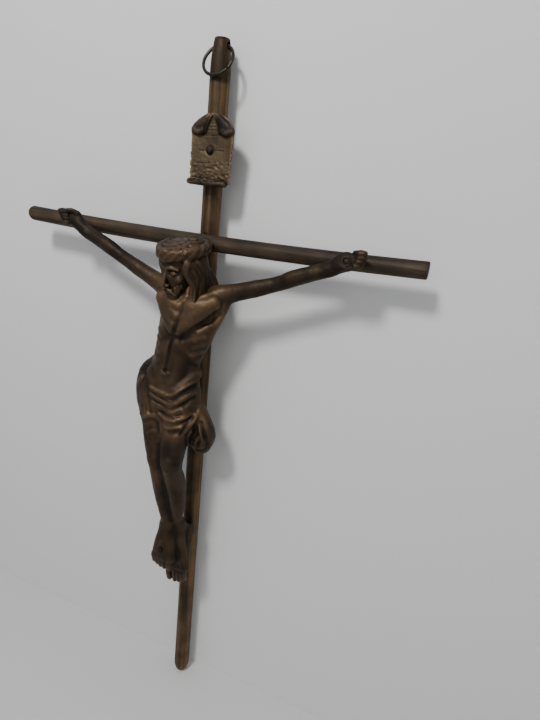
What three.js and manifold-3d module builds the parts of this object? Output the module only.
// Hanging crucifix: two round bars crossing in a saddle notch, a name board, a cast corpus held by
// three nails, and a wire ring that swings in a hole near the top of the upright.
// Millimetres, +Z up the upright, -Y to the front, +X to the viewer's right.
// The origin is the middle of the ring's hole, on the axis of the upright.
import * as THREE from "three";
import { mergeVertices } from "three/addons/utils/BufferGeometryUtils.js";
import Module from "manifold-3d";

const wasm = await Module();
wasm.setup();

// Driving dimensions. Inside the cross group heights are counted from the foot of the upright.
const UPRIGHT_LENGTH = 310;
const UPRIGHT_RADIUS = 4;
const CROSS_BAR_LENGTH = 180;
const CROSS_BAR_RADIUS = 3.3;
const CROSSING_SHARE = 0.76; // how far up the upright the cross bar lies
const CROSS_BAR_BOW = 1.8; // rise of both ends of the cross bar above its middle
const SADDLE_DEPTH = 0.8; // how far the cross bar sinks into the front of the upright
const RING_HOLE_DROP = 2.6; // from the top end of the upright to the axis of the ring's hole
const RING_HOLE_RADIUS = 1.5;
const RING_RADIUS = 6.2; // to the middle of the wire
const RING_WIRE_RADIUS = 0.62;
const RING_TILT = THREE.MathUtils.degToRad(25); // the ring leans on the front of the upright
const BOARD_WIDTH = 18; // at its foot
const BOARD_FLARE = 0.8; // how much further out its right side stands at the shoulder
const BOARD_HEIGHT = 26;
const BOARD_THICKNESS = 0.9;
const GAP = 0.3; // between pieces that rest on each other
const PIN_CLEARANCE = 0.15; // round a pin, on the radius

// Sizes that follow from them.
const HOLE_HEIGHT = UPRIGHT_LENGTH - RING_HOLE_DROP;
const CROSSING_HEIGHT = UPRIGHT_LENGTH * CROSSING_SHARE;
const CROSS_BAR_Y = SADDLE_DEPTH - UPRIGHT_RADIUS - CROSS_BAR_RADIUS;
const HALF_CROSS_BAR = CROSS_BAR_LENGTH / 2;

const vec = (x, y, z) => new THREE.Vector3(x, y, z);
const TURNING_AXIS = vec(0, 1, 0); // the axis that lathes and cylinders are built on
const UPWARD = vec(0, 0, 1);
const RIGHTWARD = vec(1, 0, 0);

// ---- geometry and solids -------------------------------------------------------------------

function toSolid(geometry) {
  const bare = geometry.clone();
  bare.deleteAttribute("normal");
  bare.deleteAttribute("uv");
  const merged = mergeVertices(bare, 1e-4);
  return new wasm.Manifold(
    new wasm.Mesh({
      numProp: 3,
      vertProperties: merged.attributes.position.array,
      triVerts: new Uint32Array(merged.index.array),
    }),
  );
}

function toGeometry(solid) {
  const mesh = solid.getMesh();
  const geometry = new THREE.BufferGeometry();
  geometry.setAttribute("position", new THREE.BufferAttribute(mesh.vertProperties, 3));
  geometry.setIndex(new THREE.BufferAttribute(mesh.triVerts, 1));
  geometry.computeVertexNormals();
  return geometry;
}

const joined = (...geometries) => geometries.map(toSolid).reduce((sum, next) => sum.add(next));

// Moves a geometry built upwards from the origin so that it starts at a point and runs along a direction.
function aimed(geometry, start, direction) {
  const turn = new THREE.Quaternion().setFromUnitVectors(TURNING_AXIS, direction.clone().normalize());
  return geometry.applyQuaternion(turn).translate(start.x, start.y, start.z);
}

function rod(from, to, radius, sides = 24) {
  const run = to.clone().sub(from);
  const geometry = new THREE.CylinderGeometry(radius, radius, run.length(), sides);
  return aimed(geometry.translate(0, run.length() / 2, 0), from, run);
}

function turned(profile, sides) {
  return new THREE.LatheGeometry(profile.map(([r, h]) => new THREE.Vector2(r, h)), sides);
}

// A limb: two balls joined by the cone that touches both.
const LIMB_SIDES = 10;
const LIMB_ARC_STEPS = 3;
function limb(from, to, fromRadius, toRadius) {
  const run = to.clone().sub(from);
  const length = run.length();
  const lean = Math.asin((fromRadius - toRadius) / length);
  const profile = [];
  for (let i = 0; i <= LIMB_ARC_STEPS; i++) {
    const latitude = THREE.MathUtils.lerp(-Math.PI / 2, lean, i / LIMB_ARC_STEPS);
    profile.push([fromRadius * Math.cos(latitude), fromRadius * Math.sin(latitude)]);
  }
  for (let i = 0; i <= LIMB_ARC_STEPS; i++) {
    const latitude = THREE.MathUtils.lerp(lean, Math.PI / 2, i / LIMB_ARC_STEPS);
    profile.push([toRadius * Math.cos(latitude), length + toRadius * Math.sin(latitude)]);
  }
  return aimed(turned(profile, LIMB_SIDES), from, run);
}

// Limbs end to end through a list of [centre, radius] stops.
const chain = (...stops) => stops.slice(1).map(([to, r], i) => limb(stops[i][0], to, stops[i][1], r));

// An ellipsoid given by its centre and its three half sizes.
function egg(centre, x, y, z) {
  return new THREE.SphereGeometry(1, 12, 7).scale(x, y, z).translate(centre.x, centre.y, centre.z);
}

// ---- bars ----------------------------------------------------------------------------------

const UPRIGHT_FOOT_FLAT = 1.5; // radius left flat at the tip of the domed foot
const UPRIGHT_DOME_HEIGHT = 6.5;
const UPRIGHT_TAPER_HEIGHT = 12;
const UPRIGHT_TOP_RADIUS = 2.9;
const BAR_SIDES = 32;

function uprightProfile() {
  const steps = 6;
  const profile = [[0, 0]];
  for (let i = 0; i <= steps; i++) {
    const angle = (i / steps) * (Math.PI / 2);
    const grow = UPRIGHT_RADIUS - UPRIGHT_FOOT_FLAT;
    profile.push([
      UPRIGHT_FOOT_FLAT + grow * Math.sin(angle),
      UPRIGHT_DOME_HEIGHT * (1 - Math.cos(angle)),
    ]);
  }
  for (let i = 0; i <= steps; i++) {
    const share = i / steps;
    profile.push([
      UPRIGHT_RADIUS - (UPRIGHT_RADIUS - UPRIGHT_TOP_RADIUS) * share ** 2,
      UPRIGHT_LENGTH - UPRIGHT_TAPER_HEIGHT * (1 - share),
    ]);
  }
  profile.push([0, UPRIGHT_LENGTH]);
  return profile;
}

// The cross bar bends up a little towards both ends.
const crossBarHeight = (x) => CROSSING_HEIGHT + CROSS_BAR_BOW * (x / HALF_CROSS_BAR) ** 2;

function crossBarGeometry() {
  const leftRound = 2;
  const rightRound = 0.5;
  const steps = 4;
  const stations = 12;
  const profile = [[0, -HALF_CROSS_BAR]];
  for (let i = 0; i <= steps; i++) {
    const angle = (i / steps) * (Math.PI / 2);
    profile.push([
      CROSS_BAR_RADIUS - leftRound * (1 - Math.sin(angle)),
      leftRound * (1 - Math.cos(angle)) - HALF_CROSS_BAR,
    ]);
  }
  for (let i = 1; i < stations; i++) {
    profile.push([CROSS_BAR_RADIUS, CROSS_BAR_LENGTH * (i / stations - 0.5)]);
  }
  profile.push([CROSS_BAR_RADIUS, HALF_CROSS_BAR - rightRound]);
  profile.push([CROSS_BAR_RADIUS - rightRound, HALF_CROSS_BAR]);
  profile.push([0, HALF_CROSS_BAR]);
  const bar = aimed(turned(profile, BAR_SIDES), vec(0, CROSS_BAR_Y, 0), RIGHTWARD);
  const points = bar.attributes.position;
  for (let i = 0; i < points.count; i++) {
    points.setZ(i, points.getZ(i) + crossBarHeight(points.getX(i)));
  }
  return bar;
}

// ---- fasteners: a round shank with a low domed head ------------------------------------------

// Built upwards: the point of the shank at the origin, the head on top.
function nailGeometry(shankRadius, shankLength, headRadius, headHeight) {
  const profile = [
    [0, 0],
    [shankRadius, shankRadius],
    [shankRadius, shankLength],
    [headRadius, shankLength],
  ];
  const steps = 4;
  for (let i = 1; i <= steps; i++) {
    const angle = (i / steps) * (Math.PI / 2);
    profile.push([headRadius * Math.cos(angle), shankLength + headHeight * Math.sin(angle)]);
  }
  return turned(profile, 16);
}

// A nail described by where its head sits and where its point ends. The holes are a little wider.
function nail(name, headAt, tipAt, shankRadius, headRadius, headHeight) {
  const length = headAt.distanceTo(tipAt);
  const out = headAt.clone().sub(tipAt);
  const past = out.clone().setLength(GAP).negate();
  return {
    name,
    geometry: aimed(nailGeometry(shankRadius, length, headRadius, headHeight), tipAt, out),
    hole: toSolid(rod(tipAt.clone().add(past), headAt, shankRadius + PIN_CLEARANCE, 16)),
  };
}

// ---- ring ----------------------------------------------------------------------------------

// The ring hangs from the top of its hole, so its centre is a little less than its radius below.
const RING_SLACK = 0.54; // how far the middle of the wire hangs below the top of the hole's axis
const RING_DROP = RING_RADIUS - RING_SLACK;
const RING_YAW = -0.08; // it sits slightly askew in the hole
const RING_ROLL = -0.04;
const RING_JOINT = 0.06; // half the butt joint's angle, seen from the ring's centre
const RING_JOINT_PLACE = 2.2; // where the butt joint lies, turned from the top of the ring

class RingPath extends THREE.Curve {
  getPoint(t) {
    const angle = RING_JOINT + t * 2 * (Math.PI - RING_JOINT) + RING_JOINT_PLACE;
    return vec(RING_RADIUS * Math.sin(angle), 0, RING_RADIUS * Math.cos(angle) - RING_DROP);
  }
}

function ringGeometry() {
  const section = new THREE.Shape().absarc(0, 0, RING_WIRE_RADIUS, 0, 2 * Math.PI);
  const wire = new THREE.ExtrudeGeometry(section, {
    steps: 36,
    curveSegments: 5,
    extrudePath: new RingPath(),
  });
  return wire.rotateY(RING_ROLL).rotateX(-RING_TILT).rotateZ(RING_YAW);
}

// ---- name board ------------------------------------------------------------------------------

const BOARD_X = 1.2; // it hangs slightly off the axis of the upright
const BOARD_FOOT = 258;
const BOARD_SHOULDER = 20; // height of the straight sides
const BOARD_ARCH = BOARD_HEIGHT - 1.5; // height at which the arched top is at its fullest
const BOARD_ARCH_SHARE = 0.75; // how far out that is, as a share of the half width
const SHELF_DEPTH = 3.3;
const SHELF_HEIGHT = 1.5;
const FOLD_THICKNESS = 1;
const FOLD_SINK = 0.2; // how far a folded corner sinks into the board
const BOARD_BACK = -UPRIGHT_RADIUS - GAP;
const BOARD_FRONT = BOARD_BACK - BOARD_THICKNESS;

// Extrudes an outline drawn in X and Z backwards from y = front.
function plate(outline, front, thickness) {
  const settings = { depth: thickness, bevelEnabled: false, curveSegments: 6 };
  const flat = new THREE.ExtrudeGeometry(outline, settings);
  return flat.rotateX(Math.PI / 2).translate(BOARD_X, front + thickness, BOARD_FOOT);
}

function boardGeometries() {
  const half = BOARD_WIDTH / 2;
  const arch = half * BOARD_ARCH_SHARE;
  const outline = new THREE.Shape();
  outline.moveTo(-half, 0);
  outline.lineTo(half, 0);
  outline.lineTo(half + BOARD_FLARE, BOARD_SHOULDER);
  outline.quadraticCurveTo(arch + BOARD_FLARE, BOARD_ARCH, 0, BOARD_HEIGHT);
  outline.quadraticCurveTo(-arch, BOARD_ARCH, -half, BOARD_SHOULDER);
  outline.closePath();

  // The bottom edge is bent out into a narrow shelf.
  const shelf = new THREE.Shape();
  shelf.moveTo(-half, -SHELF_HEIGHT / 2);
  shelf.lineTo(half, -SHELF_HEIGHT / 2);
  shelf.lineTo(half, SHELF_HEIGHT / 2);
  shelf.lineTo(-half, SHELF_HEIGHT / 2);
  shelf.closePath();

  // The two upper corners are folded over to the front.
  const folds = [-1, 1].map((side) => {
    const fold = new THREE.Shape();
    fold.moveTo(side * half * 0.96, BOARD_SHOULDER - 0.5);
    fold.lineTo(side * half * 0.4, BOARD_SHOULDER - 1.5);
    fold.lineTo(side * half * 0.22, BOARD_HEIGHT - 1.6);
    fold.lineTo(side * half * 0.65, BOARD_HEIGHT - 3);
    fold.closePath();
    return plate(fold, BOARD_FRONT + FOLD_SINK - FOLD_THICKNESS, FOLD_THICKNESS);
  });
  return [
    plate(outline, BOARD_FRONT, BOARD_THICKNESS),
    plate(shelf, BOARD_FRONT - SHELF_DEPTH, SHELF_DEPTH + BOARD_THICKNESS / 2),
    ...folds,
  ];
}

// ---- corpus ----------------------------------------------------------------------------------

// Joints of the figure, in the same frame as the cross. Its left side is at +X.
const RIGHT = {
  shoulder: vec(-12.5, -14, 214.5),
  elbow: vec(-35.6, -12.3, 226),
  wrist: vec(-54, -12, 235.8),
  fingers: vec(-66, -12, 239.2),
  armpit: vec(-6.5, -14.6, 206),
  ribs: vec(-6.5, -15.2, 199),
  waist: vec(-7.5, -15, 186),
  hip: vec(-12.5, -15, 169),
  knee: vec(-8, -20, 141),
  ankle: vec(-3.8, -16.2, 105),
  heel: vec(-1.5, -13.4, 99),
  ball: vec(-6, -19.5, 87),
  toes: vec(-6.4, -20, 83),
};
const LEFT = {
  shoulder: vec(14.5, -13.3, 216.5),
  elbow: vec(38, -12.2, 225.6),
  wrist: vec(58, -12, 234.6),
  fingers: vec(67.5, -12, 238.4),
  armpit: vec(7.5, -14.2, 207),
  ribs: vec(6, -15, 200),
  waist: vec(0.5, -15, 187),
  hip: vec(0, -15, 170),
  knee: vec(0.8, -22.5, 142),
  ankle: vec(0, -12.4, 104),
  heel: vec(2.4, -7.6, 98),
  ball: vec(-0.8, -13.6, 81),
  toes: vec(-1.4, -14.8, 75),
};

const arm = (side) =>
  chain([side.shoulder, 4.1], [side.elbow, 3.3], [side.wrist, 2.2], [side.fingers, 1.9]);

const HALF_BALL = vec(1.7, 0, 0.4); // from the middle of a foot's ball to its little-toe side, on the right
const leg = (side) => [
  ...chain([side.hip, 7.5], [side.knee, 5], [side.ankle, 2.7], [side.heel, 2.3]),
  ...[-1, 1].flatMap((across) => {
    const ball = side.ball.clone().addScaledVector(HALF_BALL, across);
    const toes = side.toes.clone().addScaledVector(HALF_BALL, across);
    return [...chain([side.ankle, 2.6], [ball, 2.4], [toes, 1.8]), limb(side.heel, ball, 2.3, 2.4)];
  }),
];

// Each half of the trunk runs from the armpit down to the hip; the shoulders and the neck join them.
const torso = () => [
  ...chain([RIGHT.armpit, 7.2], [RIGHT.ribs, 7.8], [RIGHT.waist, 6.6], [RIGHT.hip, 7.5]),
  ...chain([LEFT.armpit, 7], [LEFT.ribs, 7.6], [LEFT.waist, 6.6], [LEFT.hip, 7.5]),
  limb(RIGHT.shoulder, LEFT.shoulder, 4.1, 4.1),
  limb(vec(0, -15.6, 203), vec(-3.5, -15.8, 180), 7.4, 7),
  limb(vec(0.5, -14, 212), vec(-1.5, -16, 222), 4.5, 4.4),
];

// The head is built upright with the face to -Y, then bowed, turned and leaned to the figure's right.
// Its face is a plain one: eyes half way up the skull, the nose half way from the eyes to the chin.
const HEAD_CENTRE = vec(-3, -18.3, 227);
const HEAD_HALF_HEIGHT = 10.5;
function head() {
  const h = HEAD_HALF_HEIGHT;
  const pieces = [
    egg(vec(0, 0, 0), 0.68 * h, 0.84 * h, h),
    egg(vec(0, 0.18 * h, 0.22 * h), 0.84 * h, 0.86 * h, 0.8 * h), // hair
    limb(vec(0, -0.78 * h, 0), vec(0, -0.92 * h, -0.3 * h), 0.09 * h, 0.15 * h), // nose
    limb(vec(0, -0.5 * h, -0.75 * h), vec(0, -0.52 * h, -0.98 * h), 0.32 * h, 0.22 * h), // beard
    egg(vec(0, -0.74 * h, -0.46 * h), 0.2 * h, 0.08 * h, 0.06 * h), // mouth
  ];
  for (const side of [-1, 1]) {
    const temple = vec(side * 0.68 * h, 0.1 * h, 0.1 * h);
    const shoulder = vec(side * 0.72 * h, 0, -0.95 * h);
    pieces.push(egg(vec(side * 0.29 * h, -0.74 * h, 0), 0.15 * h, 0.1 * h, 0.08 * h)); // closed eye
    pieces.push(limb(temple, shoulder, 0.3 * h, 0.26 * h)); // a lock of hair
  }
  const tilt = new THREE.Euler(0.42, -0.1, -0.38, "ZYX");
  const place = new THREE.Matrix4().makeRotationFromEuler(tilt).setPosition(HEAD_CENTRE);
  return pieces.map((piece) => piece.applyMatrix4(place));
}

const loincloth = () => [
  limb(vec(-13, -15.5, 172), vec(2, -15.5, 172), 8.8, 8.4),
  limb(vec(-13.5, -16.5, 160), vec(1, -17, 160), 7.4, 7.6),
  limb(vec(-18.5, -14.5, 170), vec(-18, -14, 160), 5, 4.6), // bunched over the right hip
  limb(vec(7, -13, 166), vec(12, -12, 152), 3.8, 5), // knot on the left hip, and its tail
];

function corpusSolid() {
  const limbs = [RIGHT, LEFT].flatMap((side) => [...arm(side), ...leg(side)]);
  return joined(...torso(), ...head(), ...limbs, ...loincloth());
}

// ---- assembly --------------------------------------------------------------------------------

const HAND_NAIL = { shank: 0.7, head: 1.3, height: 0.7 };

// A hand nail runs straight back through the palm into the middle of the cross bar.
function handNail(name, x) {
  const z = crossBarHeight(x) + 0.8;
  const head = vec(x, -14.3, z);
  return nail(name, head, vec(x, CROSS_BAR_Y, z), HAND_NAIL.shank, HAND_NAIL.head, HAND_NAIL.height);
}

const crossingPin = nail(
  "crossing_pin",
  vec(0, UPRIGHT_RADIUS + GAP, CROSSING_HEIGHT),
  vec(0, CROSS_BAR_Y - 1, CROSSING_HEIGHT),
  1,
  1.9,
  0.8,
);
const boardRivet = nail(
  "board_rivet",
  vec(0.4, BOARD_FRONT - GAP, BOARD_FOOT + 12.4),
  vec(0.4, 1, BOARD_FOOT + 12.4),
  0.8,
  1.4,
  0.8,
);
const rightHandNail = handNail("right_hand_nail", -60.5);
const leftHandNail = handNail("left_hand_nail", 62.5);
const feetNail = nail("feet_nail", vec(-4, -21.5, 93), vec(-0.6, 0.5, 90.5), 0.8, 1.5, 0.8);

const less = (solid, ...cuts) => cuts.reduce((left, cut) => left.subtract(cut), solid);

// A solid rod from side to side, as long on the left as on the right.
function sideways(halfLength, y, z, radius) {
  return toSolid(rod(vec(-halfLength, y, z), vec(halfLength, y, z), radius, BAR_SIDES));
}

const THROUGH_REACH = 2 * UPRIGHT_RADIUS; // a cut this long passes right through the upright
const ringHole = sideways(THROUGH_REACH, 0, HOLE_HEIGHT, RING_HOLE_RADIUS);
const saddle = sideways(THROUGH_REACH, CROSS_BAR_Y, CROSSING_HEIGHT, CROSS_BAR_RADIUS + GAP);
const uprightSolid = less(
  toSolid(aimed(turned(uprightProfile(), BAR_SIDES), vec(0, 0, 0), UPWARD)),
  ringHole,
  saddle,
  crossingPin.hole,
  boardRivet.hole,
  feetNail.hole,
);
const crossBarSolid = less(
  toSolid(crossBarGeometry()),
  crossingPin.hole,
  rightHandNail.hole,
  leftHandNail.hole,
);
const boardSolid = less(joined(...boardGeometries()), boardRivet.hole);

// Room behind the corpus, so that it lies on the bars without touching them.
const BOW_ROOM = CROSS_BAR_BOW / 2;
const crossBarRoom = sideways(
  HALF_CROSS_BAR,
  CROSS_BAR_Y,
  CROSSING_HEIGHT + BOW_ROOM,
  CROSS_BAR_RADIUS + BOW_ROOM + GAP,
);
const uprightRoom = toSolid(
  rod(vec(0, 0, 0), vec(0, 0, UPRIGHT_LENGTH), UPRIGHT_RADIUS + GAP, BAR_SIDES),
);
const nailRoom = [rightHandNail, leftHandNail, feetNail].map((one) => one.hole);
const corpusBody = less(corpusSolid(), crossBarRoom, uprightRoom, ...nailRoom);

const bronze = (color) => new THREE.MeshStandardMaterial({ color, roughness: 0.42, metalness: 0.85 });
const BAR_BRONZE = bronze(0x6b5137);
const CAST_BRONZE = bronze(0x4e3a28);
const DARK_BRONZE = bronze(0x2e2a24);

function piece(name, geometry, material) {
  const mesh = new THREE.Mesh(geometry, material);
  mesh.name = name;
  return mesh;
}

const cross = new THREE.Group();
cross.position.z = -HOLE_HEIGHT;
cross.add(
  piece("upright_bar", toGeometry(uprightSolid), BAR_BRONZE),
  piece("cross_bar", toGeometry(crossBarSolid), BAR_BRONZE),
  piece("name_board", toGeometry(boardSolid), CAST_BRONZE),
  piece("corpus", toGeometry(corpusBody), CAST_BRONZE),
);
for (const one of [crossingPin, boardRivet, rightHandNail, leftHandNail, feetNail]) {
  cross.add(piece(one.name, one.geometry, DARK_BRONZE));
}

const crucifix = new THREE.Group();
crucifix.add(cross, piece("hanging_ring", ringGeometry(), DARK_BRONZE));

export default crucifix;
